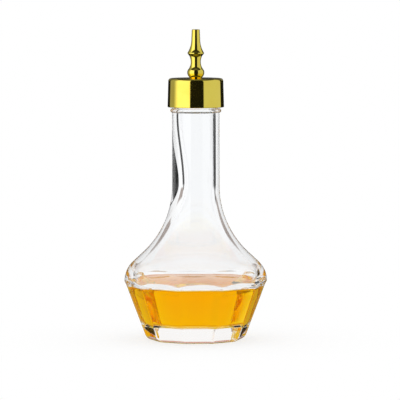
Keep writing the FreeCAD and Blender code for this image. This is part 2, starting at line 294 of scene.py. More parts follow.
@dataclass(frozen=True)
class ClearGlass(Finish):
    """Heavy clear glass with a faint unevenness from the mould."""

    name: str = "clear_flint_glass"
    bending: float = 1.5
    clear: Colour = (0.99, 0.995, 1.0)
    cool: Colour = (0.975, 0.985, 0.995)
    swell_scale: float = 70.0
    swell_depth: float = 0.00006
    mark_scale: float = 900.0
    mark_from: float = 0.62
    mark_full: float = 0.8
    mark_haze: float = 0.02

    def shader(self, board: Board, place: Socket) -> Socket:
        """Builds clear glass with a slow swell in its faces and a trace of handling marks.

        Args:
            board: The board of the material's tree.
            place: The place on the piece.

        Returns:
            The shader's output.
        """
        swell = board.noise(place, self.swell_scale, detail=1.0)
        marks = board.noise(place, self.mark_scale, detail=3.0)
        return self.principled(board, {
            "Base Color": board.tint(swell, self.clear, self.cool),
            "Roughness": marks.climb(self.mark_from, self.mark_full) * self.mark_haze,
            "IOR": self.bending,
            "Transmission Weight": 1.0,
            "Normal": board.bump(swell, self.swell_depth),
        })


@dataclass(frozen=True)
class AmberBitters(Finish):
    """Clear amber bitters, a little deeper towards the floor."""

    name: str = "amber_bitters"
    bending: float = 1.36
    at_wall: float = 1.0
    light: Colour = (1.0, 0.99, 0.96)
    deep: Colour = (1.0, 0.97, 0.9)
    absorbed: Colour = (1.0, 0.9, 0.02)
    density: float = 165.0
    drift_scale: float = 60.0
    drift_height: float = 0.006
    deep_below: float = 0.006
    light_above: float = 0.026

    def shader(self, board: Board, place: Socket) -> Socket:
        """Builds a clear tinted liquid; the wetted glass does the bending at its wall.

        Args:
            board: The board of the material's tree.
            place: The place on the piece.

        Returns:
            The shader's output.
        """
        height = board.axes(place)[2]
        drift = (board.noise(place, self.drift_scale) - 0.5) * self.drift_height
        depth = 1 - (height + drift).climb(self.deep_below, self.light_above)
        level = board.node("ShaderNodeAttribute", {"attribute_name": "level"}).outputs["Fac"]
        wall, surface = [self.principled(board, {
            "Base Color": board.tint(depth, self.light, self.deep),
            "Roughness": 0.0,
            "IOR": bending,
            "Transmission Weight": 1.0,
        }) for bending in (self.at_wall, self.bending)]
        return board.blend(level, wall, surface)

    def volume(self, board: Board) -> Socket:
        """Fills the liquid with its amber dye."""
        return board.node("ShaderNodeVolumeAbsorption", None,
                          {"Color": (*self.absorbed, 1), "Density": self.density}).outputs[0]


@dataclass(frozen=True)
class PolishedGold(Finish):
    """Polished gold plate over turned metal."""

    name: str = "polished_gold_plate"
    bright: Colour = (1.0, 0.84, 0.14)
    warm: Colour = (0.98, 0.77, 0.11)
    gloss: float = 0.05
    warm_from: float = 0.35
    warm_full: float = 0.75
    haze_scale: float = 160.0
    haze_from: float = 0.45
    haze_full: float = 0.8
    haze_gloss: float = 0.05
    ring_pitch: float = 0.00018
    ring_wander: float = 4.0
    ring_depth: float = 0.0000006

    def shader(self, board: Board, place: Socket) -> Socket:
        """Builds the plate: fine turning marks round the axis, thin haze and warm patches.

        Args:
            board: The board of the material's tree.
            place: The place on the piece.

        Returns:
            The shader's output.
        """
        height = board.axes(place)[2]
        haze = board.noise(place, self.haze_scale, detail=4.0)
        rings = (height * (math.tau / self.ring_pitch) + haze * self.ring_wander).cosine() * 0.5 + 0.5
        warmth = haze.climb(self.warm_from, self.warm_full)
        return self.principled(board, {
            "Base Color": board.tint(warmth, self.bright, self.warm),
            "Metallic": 1.0,
            "Roughness": self.gloss + haze.climb(self.haze_from, self.haze_full) * self.haze_gloss,
            "Normal": board.bump(rings * haze, self.ring_depth),
        })


@dataclass(frozen=True)
class MouldedFinish(Finish):
    """A moulded finish without polish, with cloudy patches and a fine grain."""

    name: str = "moulded"
    pale: Colour = WHITE
    shade: Colour = WHITE
    cloud_scale: float = 220.0
    dullness: float = 0.38
    cloud_dullness: float = 0.16
    grain_scale: float = 5200.0
    grain_detail: float = 2.0
    grain_depth: float = 0.00001
    milkiness: float = 0.0
    milk_depth: float = 0.001

    def shader(self, board: Board, place: Socket) -> Socket:
        """Builds a soft sheen over the grain of the mould.

        Args:
            board: The board of the material's tree.
            place: The place on the piece.

        Returns:
            The shader's output.
        """
        cloud = board.noise(place, self.cloud_scale, detail=3.0)
        grain = board.noise(place, self.grain_scale, self.grain_detail)
        return self.principled(board, {
            "Base Color": board.tint(cloud, self.pale, self.shade),
            "Roughness": self.dullness + cloud * self.cloud_dullness,
            "Subsurface Weight": self.milkiness,
            "Subsurface Scale": self.milk_depth,
            "Normal": board.bump(grain, self.grain_depth),
        })


@dataclass(frozen=True)
class LinerPlastic(MouldedFinish):
    """Moulded natural white plastic."""

    name: str = "moulded_liner_plastic"
    pale: Colour = (0.86, 0.85, 0.81)
    shade: Colour = (0.78, 0.77, 0.72)


@dataclass(frozen=True)
class SoftSeal(MouldedFinish):
    """Milky soft silicone, duller than the plastic."""

    name: str = "milky_soft_seal"
    pale: Colour = (0.82, 0.82, 0.8)
    shade: Colour = (0.72, 0.73, 0.72)
    cloud_scale: float = 300.0
    dullness: float = 0.5
    cloud_dullness: float = 0.2
    grain_scale: float = 7000.0
    grain_detail: float = 1.0
    grain_depth: float = 0.000008
    milkiness: float = 0.3


@dataclass(frozen=True)
class PaleFloor(Finish):
    """A plain white floor that keeps shadows; glass sees a painted amber pool on it, gloss sees it painted
    dark.
    """

    name: str = "pale_floor"
    pale: Colour = (0.985, 0.985, 0.985)
    shade: Colour = (0.975, 0.975, 0.975)
    cloud_scale: float = 8.0
    # Painted dark reflection: how bright gloss rays see the floor.
    in_gloss: float = 0.03
    near_glow: float = 0.7
    shadow_reach: float = 0.11
    # Painted pool of amber light behind the bottle: its colour, how far back it lies and its soft edge.
    amber: Colour = (0.72, 0.38, 0.3)
    amber_back: float = 0.032
    amber_inside: float = 0.022
    amber_outside: float = 0.04

    def shader(self, board: Board, place: Socket) -> Socket:
        """Builds the floor; only glass sees its painted amber pool, for the light that falls through the
        bitters.

        Args:
            board: The board of the material's tree.
            place: The place on the floor.

        Returns:
            The shader's output.
        """
        path = board.node("ShaderNodeLightPath")
        glass = board.wire(path, "Is Transmission Ray")
        # Painted dark reflection: gloss rays see the floor nearly black.
        painted_dark_in_gloss = board.wire(path, "Is Glossy Ray") * (1 - glass)
        across, along, _ = board.axes(place)
        behind = along - self.amber_back
        paint = board.node("ShaderNodeBsdfDiffuse", None, {
            "Color": board.tint(board.noise(place, self.cloud_scale), self.pale, self.shade)})
        far = (across * across + along * along).root().climb(0.0, self.shadow_reach)
        bare = board.blend(far * (1 - self.near_glow) + self.near_glow, paint.outputs[0],
                           board.glow((*WHITE, 1)))
        # Painted pool of amber light on the floor, seen only through the glass.
        edge = (across * across + behind * behind).root().climb(self.amber_inside, self.amber_outside)
        painted_light_pool = board.glow(board.tint(edge, self.amber, WHITE))
        return board.blend(painted_dark_in_gloss, board.blend(glass, bare, painted_light_pool), board.glow((*WHITE, 1), self.in_gloss))


# Half sections and turned meshes

@dataclass(frozen=True)
class Corner:
    """A corner of a half section, in millimetres.

    Attributes:
        across: Distance from the axis.
        up: Height.
        sweep: Radius of the arc to the next corner: plus turns left, minus turns right, 0 is straight.
        ease: Radius that rounds the corner itself, between two straight runs.
        step: Longest step along the run to the next corner.
    """

    across: float
    up: float
    sweep: float = 0.0
    ease: float = 0.0
    step: float = 2.0


def along_arc(start: Point, end: Point, radius: float, step: float) -> list[Point]:
    """Follows an arc.

    Args:
        start: Where the arc starts.
        end: Where it ends.
        radius: Its radius: plus turns left, minus turns right.
        step: Longest step along it.

    Returns:
        Points along the arc, without its start.
    """
    chord = Vector(end) - Vector(start)
    rise = math.sqrt(max(radius ** 2 - chord.length_squared / 4, 0.0))
    left = Vector((-chord.y, chord.x)).normalized()
    centre = Vector(start) + chord / 2 + left * math.copysign(rise, radius)
    spread = 2 * math.asin(min(chord.length / 2 / abs(radius), 1.0))
    count = max(math.ceil(spread * abs(radius) / step), math.ceil(spread / ARC_TURN), 1)
    first = math.atan2(start[1] - centre.y, start[0] - centre.x)
    angles = [first + math.copysign(spread, radius) * index / count for index in range(1, count)]
    places = [(centre.x + abs(radius) * math.cos(angle), centre.y + abs(radius) * math.sin(angle))
              for angle in angles]
    return places + [end]


def along_run(start: Point, end: Point, step: float) -> list[Point]:
    """Follows a straight run.

    Args:
        start: Where the run starts.
        end: Where it ends.
        step: Longest step along it.

    Returns:
        Points along the run, without its start.
    """
    count = max(math.ceil((math.dist(start, end) - SAME) / step), 1)
    return [(start[0] + (end[0] - start[0]) * index / count, start[1] + (end[1] - start[1]) * index / count)
            for index in range(1, count + 1)]


def eased(before: Point, corner: Corner, after: Point) -> tuple[Point, Point]:
    """Finds where a corner's rounding starts and ends.

    Args:
        before: The corner before.
        corner: The corner that is rounded.
        after: The corner after.

    Returns:
        The rounding's first and last point.
    """
    here = Vector((corner.across, corner.up))
    back = (Vector(before) - here).normalized()
    ahead = (Vector(after) - here).normalized()
    reach = corner.ease / math.tan(back.angle(ahead) / 2)
    return tuple(here + back * reach), tuple(here + ahead * reach)


def trace(corners: Sequence[Corner], closed: bool = False) -> list[Point]:
    """Follows a half section.

    Args:
        corners: Its corners, in order.
        closed: Whether the last corner runs on to the first.

    Returns:
        Points along the section.
    """
    places = [(corner.across, corner.up) for corner in corners]
    count = len(corners)
    starts, ends = list(places), list(places)
    for index, corner in enumerate(corners):
        if corner.ease:
            starts[index], ends[index] = eased(places[index - 1], corner, places[(index + 1) % count])
    points = [starts[0]]
    for index, corner in enumerate(corners):
        if corner.ease:
            here = Vector(places[index])
            leaving = Vector(ends[index]) - here
            coming = here - Vector(starts[index])
            left = coming.x * leaving.y - coming.y * leaving.x
            points += along_arc(starts[index], ends[index], math.copysign(corner.ease, left), corner.step)
        if index + 1 == count and not closed:
            break
        goal = starts[(index + 1) % count]
        if corner.sweep:
            points += along_arc(ends[index], goal, corner.sweep, corner.step)
        else:
            points += along_run(ends[index], goal, corner.step)
    return points[:-1] if closed else points


def turned_back(corners: Sequence[Corner]) -> list[Corner]:
    """Gives a section's corners in the other direction.

    Args:
        corners: The corners in order.

    Returns:
        The same section, from its last corner to its first.
    """
    flipped = []
    for corner, before in zip(reversed(corners), [*reversed(corners[:-1]), None]):
        run = before or Corner(0, 0)
        flipped.append(Corner(corner.across, corner.up, -run.sweep, corner.ease, run.step))
    return flipped


def turned_mesh(name: str, section: Sequence[Point], segments: int, closed: bool = False,
                marks: dict[str, list[float]] | None = None) -> Mesh:
    """Turns a half section round the upright axis.

    Args:
        name: The mesh's name.
        section: Points in millimetres, with the solid on their left; a point on the axis is a pole.
        segments: Steps round the axis.
        closed: Whether the last point runs on to the first.
        marks: Numbers to write on the mesh, by name, one for each point of the section.

    Returns:
        A closed mesh in metres, shaded smooth.
    """
    angles = [math.tau * index / segments for index in range(segments)]
    verts: list[tuple[float, float, float]] = []
    rings: list[list[int]] = []
    for across, up in section:
        first = len(verts)
        if across < SAME:
            verts.append((0.0, 0.0, up * MM))
            rings.append([first] * segments)
            continue
        verts += [(across * MM * math.cos(angle), across * MM * math.sin(angle), up * MM)
                  for angle in angles]
        rings.append(list(range(first, first + segments)))
    faces: list[tuple[int, ...]] = []
    pairs = list(zip(rings, rings[1:]))
    if closed:
        pairs.append((rings[-1], rings[0]))
    for low, high in pairs:
        for index in range(segments):
            ahead = (index + 1) % segments
            corners = (low[index], low[ahead], high[ahead], high[index])
            faces.append(tuple(dict.fromkeys(corners)))
    mesh = bpy.data.meshes.new(name)
    mesh.from_pydata(verts, [], faces)
    mesh.polygons.foreach_set("use_smooth", [True] * len(faces))
    for label, numbers in (marks or {}).items():
        values = [number for number, ring in zip(numbers, rings) for _ in set(ring)]
        mesh.attributes.new(label, "FLOAT", "POINT").data.foreach_set("value", values)
    mesh.update()
    return mesh


def new_piece(name: str, mesh: Mesh, finish: Finish | None = None) -> Piece:
    """Puts a mesh into the scene as a piece.

    Args:
        name: The piece's name.
        mesh: Its mesh.
        finish: Its finish, if it has one already.

    Returns:
        The piece's object.
    """
    piece = bpy.data.objects.new(name, mesh)
    bpy.context.scene.collection.objects.link(piece)
    if finish:
        mesh.materials.append(finish.material())
    return piece


def ring_piece(name: str, corners: Sequence[Corner], segments: int, finish: Finish) -> Piece:
    """Turns a closed half section into a piece with its finish."""
    return new_piece(name, turned_mesh(name, trace(corners, closed=True), segments, closed=True), finish)


def seat(piece: Piece, body: Body, slot: Slot, *nodes: str) -> None:
    """Joins a piece to the frame.

    Args:
        piece: The piece.
        body: The body that it moves with.
        slot: The slot of its finish; not used.
        *nodes: The solids that it stands for.
    """
    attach(piece, body.value)
    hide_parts(*nodes)
    log.info("%s rides on %s, %d faces", piece.name, body.value, len(piece.data.polygons))


# Geometry node groups

@dataclass(frozen=True)
class Thread:
    """One rounded screw thread; lengths in millimetres, its length and the fade at its ends in turns."""

    pitch: float = 3.175
    start: float = 104.5
    turns: float = 1.3
    depth: float = 1.0
    width: float = 2.0
    fade: float = 0.12

    def sizes(self) -> dict[str, float]:
        """Gives a mould's inputs for the thread.

        Returns:
            The inputs' names and values, in metres and turns.
        """
        return {
            "Thread Pitch": self.pitch * MM,
            "Thread Start": self.start * MM,
            "Thread Turns": self.turns,
            "Thread Depth": self.depth * MM,
            "Thread Width": self.width * MM,
            "Thread Fade": self.fade,
        }


class Mould:
    """A geometry group that shapes one turned mesh and is then made plain."""

    def __init__(self, name: str, sizes: dict[str, float], finish: Finish) -> None:
        """Starts the group with one named input for each size.

        Args:
            name: The group's name.
            sizes: The inputs' names and values, in metres, radians or counts.
            finish: The finish that the shaped mesh gets.
        """
        self.tree = bpy.data.node_groups.new(name, "GeometryNodeTree")
        self.board = Board(self.tree)
        face = self.tree.interface
        face.new_socket("Geometry", in_out="INPUT", socket_type="NodeSocketGeometry")
        face.new_socket("Geometry", in_out="OUTPUT", socket_type="NodeSocketGeometry")
        socket = face.new_socket("Finish", in_out="INPUT", socket_type="NodeSocketMaterial")
        self.values: dict[str, Any] = {socket.identifier: finish.material()}
        for label, size in sizes.items():
            socket = face.new_socket(label, in_out="INPUT", socket_type="NodeSocketFloat")
            self.values[socket.identifier] = size
        self.entry = self.board.node("NodeGroupInput")
        self.across, self.along, self.up = self.board.axes(
            self.board.node("GeometryNodeInputPosition").outputs[0])
        self.radius = (self.across * self.across + self.along * self.along).root().most(SAME * MM)
        self.turn = self.board.math("ARCTAN2", self.along, self.across) / math.tau

    def size(self, label: str) -> Wire:
        """Gives one of the group's inputs."""
        return self.board.wire(self.entry, label)

    def mark(self, name: str) -> Wire:
        """Reads a number that was written on the mesh."""
        return self.board.wire(self.board.node("GeometryNodeInputNamedAttribute", {"data_type": "FLOAT"},
                                               {"Name": name}))

    def thread(self, side: Side) -> Wire:
        """Works out a screw thread: one rounded ridge that climbs round the wall and fades at its ends.

        Args:
            side: The wall that carries it.

        Returns:
            How far each point moves out from the axis.
        """
        pitch = self.size("Thread Pitch")
        climbed = (self.up - self.size("Thread Start")) / pitch
        coil = self.board.math("ROUND", climbed - self.turn)
        along = coil + self.turn
        off = (climbed - along) * pitch / self.size("Thread Width")
        ridge = (off.most(-0.5).least(0.5) * math.tau).cosine() * 0.5 + 0.5
        end, fade = self.size("Thread Turns"), self.size("Thread Fade")
        length = along.climb(0.0, fade) * (1 - along.climb(end - fade, end))
        return ridge * length * self.size("Thread Depth") * side.value

    def shape(self, piece: Piece, across: Wire, along: Wire, other: Finish | None = None,
              where: Wire | None = None) -> None:
        """Moves the points, gives the mesh its finish and makes the result a plain mesh.

        Args:
            piece: The piece that is shaped.
            across: Each point's new place from left to right.
            along: Each point's new place from front to back.
            other: A second finish, for part of the piece.
            where: The faces that get it.
        """
        board = self.board
        moved = board.node("GeometryNodeSetPosition", None, {
            "Geometry": board.wire(self.entry, "Geometry"),
            "Position": board.vector(across, along, self.up),
        })
        plain = board.node("GeometryNodeRealizeInstances", None, {0: moved.outputs[0]})
        dressed = board.node("GeometryNodeSetMaterial", None,
                             {"Geometry": plain.outputs[0], "Material": board.wire(self.entry, "Finish")})
        if other:
            dressed = board.node("GeometryNodeSetMaterial", None, {
                "Geometry": dressed.outputs[0], "Selection": where > 0.5, "Material": other.material()})
        board.node("NodeGroupOutput", None, {0: dressed.outputs[0]})
        modifier = piece.modifiers.new("mould", "NODES")
        modifier.node_group = self.tree
        for identifier, value in self.values.items():
            modifier[identifier] = value
        graph = bpy.context.evaluated_depsgraph_get()
        shaped = bpy.data.meshes.new_from_object(piece.evaluated_get(graph), depsgraph=graph)
        shaped.name = piece.name
        piece.modifiers.clear()
        piece.data = shaped


# The bottle

@dataclass
class Bottle:
    """The panelled glass bottle and the bitters in it; lengths in millimetres, angles in degrees."""

    body_radius: float = 31.4
    widest_height: float = 25.9
    turn_radius: float = 1.0
    ridge_lean: float = 20.75
    panel_count: int = 10
    ridge_inset: float = 0.12
    heel_radius: float = 3.6
    heel_toe: float = 0.15
    push_up_radius: float = 14.0
    push_up_depth: float = 1.2
    ridge_softness: float = 0.45
    shoulder_softness: float = 0.6
    soften_from: float = 17.0
    soften_to: float = 24.0
    scoop_level: float = 24.2
    scoop_curve: float = 0.23
    shoulder_radius: float = 11.5
    shoulder_slope: float = 47.0
    flare_radius: float = 40.0
    neck_radius: float = 10.4
    ring_height: float = 100.0
    ring_thickness: float = 1.8
    ring_reach: float = 0.8
    finish_radius: float = 8.9
    finish_height: float = 9.7
    finish_fillet: float = 0.8
    mouth_radius: float = 6.4
    mouth_depth: float = 7.5
    throat_rise: float = 3.0
    lip_round: float = 0.9
    thread: Thread = Thread()
    base_thickness: float = 7.2
    body_wall: float = 2.2
    shoulder_wall: float = 2.7
    hollow_turn_radius: float = 7.5
    floor_round: float = 5.0
    bore_squeeze: float = 0.21
    squeeze_side: float = 0.75
    squeeze_foot: float = 50.0
    squeeze_level: float = 69.0
    squeeze_top: float = 98.0
    fill_depth: float = 16.6
    liquid_gap: float = 0.03
    meniscus_rise: float = 0.7
    meniscus_reach: float = 4.5
    meniscus_fall: float = 0.9375
    meniscus_crowding: float = 1.6
    meniscus_steps: int = 12
    level_step: float = 4.0
    segments: int = 280
    bitters_segments: int = 240
    glass: ClearGlass = ClearGlass()
    wetted: ClearGlass = ClearGlass("wetted_flint_glass", ClearGlass.bending / AmberBitters.bending)
    bitters: AmberBitters = AmberBitters()

    def __post_init__(self) -> None:
        """Works out the places that follow from the sizes."""
        ridge = math.radians(self.ridge_lean)
        slope = math.radians(self.shoulder_slope)
        share = math.cos(math.pi / self.panel_count)
        self.foot_radius = (self.body_radius - self.turn_radius * (1 - math.cos(ridge))
                            - (self.widest_height - self.turn_radius * math.sin(ridge)) * math.tan(ridge))
        self.panel_lean = math.atan(math.tan(ridge) * share)
        self.panel_foot = (self.foot_radius - self.ridge_inset) * share
        self.heel_level = self.heel_radius - self.heel_toe
        self.slope_radius = self.body_radius - self.shoulder_radius * (1 - math.cos(slope))
        self.slope_height = self.widest_height + self.shoulder_radius * math.sin(slope)
        self.flare_foot = self.neck_radius + self.flare_radius * (1 - math.cos(slope))
        self.flare_foot_height = self.slope_height + (self.slope_radius - self.flare_foot) / math.tan(slope)
        self.flare_height = self.flare_foot_height + self.flare_radius * math.sin(slope)
        self.ring_top = self.ring_height + self.ring_thickness
        self.lip_height = self.ring_top + self.finish_height
        self.mouth_level = self.lip_height - self.mouth_depth
        self.fill_height = self.base_thickness + self.fill_depth
        self.wet_height = self.fill_height + self.meniscus_rise

    def outside(self) -> list[Corner]:
        """Draws the glass from the middle of its foot up to the lip.

        Returns:
            The corners of the outside.
        """
        ridge = math.radians(self.ridge_lean)
        dome = (self.push_up_radius ** 2 + self.push_up_depth ** 2) / (2 * self.push_up_depth)
        heel_up = self.heel_level - self.heel_radius * math.sin(ridge)
        heel_across = self.foot_radius + heel_up * math.tan(ridge)
        toe = math.sqrt(self.heel_radius ** 2 - self.heel_level ** 2)
        toe_across = heel_across - self.heel_radius * math.cos(ridge) + toe
        turn_across = self.body_radius - self.turn_radius * (1 - math.cos(ridge))
        turn_up = self.widest_height - self.turn_radius * math.sin(ridge)
        ring = ((self.ring_thickness / 2) ** 2 + self.ring_reach ** 2) / (2 * self.ring_reach)
        return [
            Corner(0, self.push_up_depth, -dome),
            Corner(self.push_up_radius, 0, step=0.6),
            Corner(toe_across, 0, self.heel_radius, step=0.35),
            Corner(heel_across, heel_up, step=0.8),
            Corner(turn_across, turn_up, self.turn_radius, step=0.4),
            Corner(self.body_radius, self.widest_height, self.shoulder_radius, step=0.45),
            Corner(self.slope_radius, self.slope_height, step=1.2),
            Corner(self.flare_foot, self.flare_foot_height, -self.flare_radius, step=1.5),
            Corner(self.neck_radius, self.flare_height),
            Corner(self.neck_radius, self.ring_height, ring, step=0.2),
            Corner(self.neck_radius, self.ring_top),
            Corner(self.finish_radius + self.finish_fillet, self.ring_top, -self.finish_fillet),
            Corner(self.finish_radius, self.ring_top + self.finish_fillet, step=0.17),
            Corner(self.finish_radius, self.lip_height, ease=self.lip_round, step=0.3),
        ]

    def hollow(self, gap: float) -> list[Corner]:
        """Draws the hollow from the middle of its floor up to the lip.

        Args:
            gap: How far the drawn wall stays off the glass.

        Returns:
            The corners of the hollow.
        """
        lean, slope = self.panel_lean, math.radians(self.shoulder_slope)
        wall = self.panel_foot * math.cos(lean) - self.body_wall - gap
        floor = self.base_thickness + gap
        round_up = floor + self.floor_round
        round_across = (wall - self.floor_round + round_up * math.sin(lean)) / math.cos(lean)
        middle = self.body_radius - self.shoulder_radius
        inside = self.shoulder_radius - self.shoulder_wall - gap
        turn = self.hollow_turn_radius - gap
        off_wall = wall - turn
        off_slope = middle * math.cos(slope) + self.widest_height * math.sin(slope) + inside - turn
        spread = math.sin(slope + lean)
        turn_across = (off_wall * math.sin(slope) + off_slope * math.sin(lean)) / spread
        turn_up = (off_slope * math.cos(lean) - off_wall * math.cos(slope)) / spread
        flare = self.flare_radius + self.shoulder_wall + gap
        flare_middle = self.neck_radius + self.flare_radius
        bore, mouth = flare_middle - flare, self.mouth_radius - gap
        throat = ((bore - mouth) ** 2 + self.throat_rise ** 2) / (4 * (bore - mouth))
        return [
            Corner(0, floor, step=4.0),
            Corner(round_across, floor, self.floor_round, step=0.6),
            Corner(round_across + self.floor_round * math.cos(lean),
                   round_up - self.floor_round * math.sin(lean), step=3.0),
            Corner((wall + self.wet_height * math.sin(lean)) / math.cos(lean), self.wet_height),
            Corner(turn_across + turn * math.cos(lean), turn_up - turn * math.sin(lean), turn, step=0.4),
            Corner(turn_across + turn * math.cos(slope), turn_up + turn * math.sin(slope)),
            Corner(flare_middle - flare * math.cos(slope), self.flare_height - flare * math.sin(slope),
                   -flare, step=1.6),
            Corner(bore, self.flare_height, step=1.8),
            Corner(bore, self.mouth_level - self.throat_rise, throat, step=0.4),
            Corner((bore + mouth) / 2, self.mouth_level - self.throat_rise / 2, -throat, step=0.4),
            Corner(mouth, self.mouth_level),
            Corner(mouth, self.lip_height, ease=self.lip_round, step=0.3),
        ]

    def build_glass(self) -> None:
        """Turns the glass and shapes its panels, its thread and the squeeze of its bore."""
        section = trace(self.outside() + turned_back(self.hollow(0.0)))
        lip = next(index for index, (_, up) in enumerate(section) if up > self.lip_height - SAME)
        outside = [1.0 if index <= lip else 0.0 for index in range(len(section))]
        wet = [1.0 - mark if up < self.wet_height + SAME else 0.0
               for mark, (_, up) in zip(outside, section)]
        piece = new_piece("glass_bottle_dressed", turned_mesh(
            "glass_bottle_dressed", section, self.segments, marks={"outside": outside, "wet": wet}))
        mould = Mould("bottle_mould", {
            "Panel Count": float(self.panel_count),
            "Panel Foot": self.panel_foot * MM,
            "Panel Slope": math.tan(self.panel_lean),
            "Heel Radius": self.heel_radius * MM,
            "Heel Level": self.heel_level * MM,
            "Ridge Softness": self.ridge_softness * MM,
            "Shoulder Softness": self.shoulder_softness * MM,
            "Soften From": self.soften_from * MM,
            "Soften To": self.soften_to * MM,
            "Scoop Level": self.scoop_level * MM,
            "Scoop Curve": self.scoop_curve / MM,
            "Bore Squeeze": self.bore_squeeze,
            "Squeeze Side": self.squeeze_side,
            "Squeeze Foot": self.squeeze_foot * MM,
            "Squeeze Level": self.squeeze_level * MM,
            "Squeeze Top": self.squeeze_top * MM,
            **self.thread.sizes(),
        }, self.glass)
        on_outside = mould.mark("outside")
        cut = self.panel_cut(mould) + mould.thread(Side.OUTSIDE)
        scale = 1 + on_outside * (cut / mould.radius - 1)
        squeeze = (1 - on_outside) * self.bore_wave(mould) * mould.size("Bore Squeeze")
        aside = mould.radius * mould.size("Squeeze Side") - mould.across
        across = mould.across * scale + aside * squeeze
        mould.shape(piece, across, mould.along * scale * (1 - squeeze), self.wetted, mould.mark("wet"))
        piece.data.set_sharp_from_angle(angle=CREASE)
        seat(piece, Body.BOTTLE, Slot.GLASS, "glass_bottle")

    def panel_cut(self, mould: Mould) -> Wire:
        """Works out the outside once the leaning panels are cut into it, with soft edges and scooped tops.

        Args:
            mould: The group that shapes the glass.

        Returns:
            Each point's new distance from the axis.
        """
        count, foot, slope = mould.size("Panel Count"), mould.size("Panel Foot"), mould.size("Panel Slope")
        heel, level = mould.size("Heel Radius"), mould.size("Heel Level")
        share = mould.turn * count
        turned = (share - mould.board.math("FLOOR", share) - 0.5) * math.tau / count
        lean_length = (slope * slope + 1).root()
        toe_up = level - heel * slope / lean_length
        toe_middle = foot + toe_up * slope - heel / lean_length
        drop = mould.up - level
        rounded = toe_middle + (heel * heel - drop * drop).most(0.0).root()
        scoop = (mould.up - mould.size("Scoop Level")).most(0.0)
        plane = foot + mould.up * slope + scoop * scoop * mould.size("Scoop Curve")
        panel = (plane + (mould.up < toe_up) * (rounded - plane)) / turned.cosine()
        rise = mould.up.climb(mould.size("Soften From"), mould.size("Soften To"))
        soft = mould.size("Ridge Softness") * (1 - rise) + mould.size("Shoulder Softness") * rise
        near = (soft - abs(mould.radius - panel)).most(0.0)
        return mould.radius.least(panel) - near * near / soft * 0.25

    def bore_wave(self, mould: Mould) -> Wire:
        """Works out the share of the squeeze at each point of the bore, at the foot of the neck."""
        foot, level, top = [mould.size("Squeeze " + end) for end in ("Foot", "Level", "Top")]
        return mould.up.climb(foot, level) * (1 - mould.up.climb(level, top))

    def build_bitters(self) -> None:
        """Turns the bitters, from the floor of the hollow to a level that climbs at the wall."""
        hollow = trace(self.hollow(self.liquid_gap))
        wall = [(across, up) for across, up in hollow if up < self.wet_height + SAME]
        level: list[Point] = []
        for index in range(1, self.meniscus_steps + 1):
            back = self.meniscus_reach * (index / self.meniscus_steps) ** self.meniscus_crowding
            rise = self.meniscus_rise * math.exp(-back / self.meniscus_fall)
            level.append((wall[-1][0] - back, self.fill_height + rise))
        level += along_run(level[-1], (0.0, self.fill_height), self.level_step)
        mesh = turned_mesh("bitters_dressed", wall + level, self.bitters_segments,
                           marks={"level": [0.0] * len(wall) + [1.0] * len(level)})
        seat(new_piece("bitters_dressed", mesh, self.bitters), Body.BOTTLE, Slot.BITTERS, "bitters_liquid")

    def build(self) -> None:
        """Builds the glass and the bitters."""
        self.build_glass()
        self.build_bitters()


# The cap with its liner, spout and washer

def swept(step: float, rise: float) -> float:
    """Gives the radius of an arc that leaves an upright line and moves a step aside over a rise."""
    return (step ** 2 + rise ** 2) / (2 * step)


